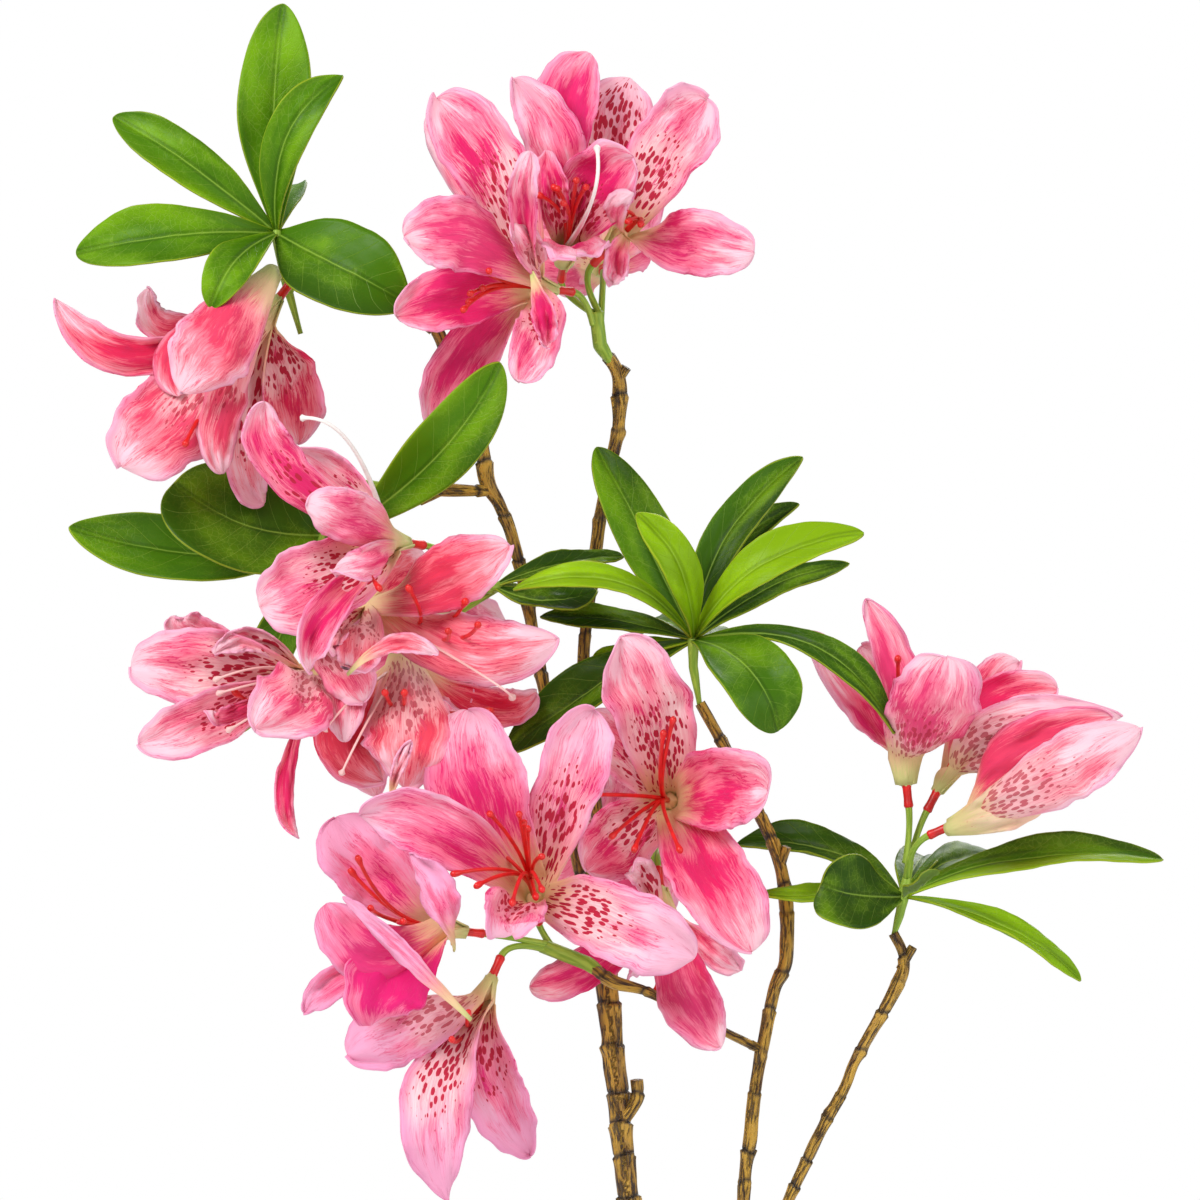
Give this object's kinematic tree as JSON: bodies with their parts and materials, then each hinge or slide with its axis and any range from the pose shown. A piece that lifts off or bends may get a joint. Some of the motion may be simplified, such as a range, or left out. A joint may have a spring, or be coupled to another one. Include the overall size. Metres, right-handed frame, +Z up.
{
  "type": "artificial azalea shrub in a pot",
  "caption": "Artificial azalea: bare bark stems from a filled round pot, whorls of moulded leaves and large open pink fabric blooms.",
  "frame": {"origin": "centre of the pot's flat underside", "axes": "+Z up, -Y towards the side with the most blooms, +X to the right of someone who looks at that side"},
  "size_m": [0.3343, 0.1672, 0.6891],
  "materials": {
    "stoneware": "satin glazed stoneware",
    "moss": "matt dried moss over a cement plug",
    "bark": "moulded bark on wire",
    "leaf_green": "semi-gloss coated leaf",
    "petal_pink": "matt printed fabric"
  },
  "bodies": {
    "root": {"pot": "stoneware", "pot_fill": "moss", "stem_main": "bark", "stem_upper": "bark", "stem_left": "bark", "twig_top_left": "bark", "twig_left": "bark", "stem_middle": "bark", "twig_front": "bark", "twig_centre": "bark", "stem_right": "bark", "leaves_top_left": "leaf_green", "leaves_left": "leaf_green", "leaves_middle_left": "leaf_green", "leaves_middle": "leaf_green", "leaves_right": "leaf_green", "bloom_top_left": "petal_pink", "bloom_top_outward": "petal_pink", "bloom_top_upright": "petal_pink", "bloom_top_right": "petal_pink", "bloom_left_upper": "petal_pink", "bloom_left_centre": "petal_pink", "bloom_left_outer": "petal_pink", "bloom_left_lower": "petal_pink", "bloom_centre_open": "petal_pink", "bloom_centre_hanging": "petal_pink", "bloom_front_open": "petal_pink", "bloom_front_left": "petal_pink", "bloom_front_hanging": "petal_pink", "bloom_right_upright": "petal_pink", "bloom_right_leaning": "petal_pink", "bloom_right_rolled": "petal_pink", "bloom_back_top": "petal_pink", "bloom_back_left": "petal_pink", "bloom_back_centre": "petal_pink"}
  },
  "joints": []
}
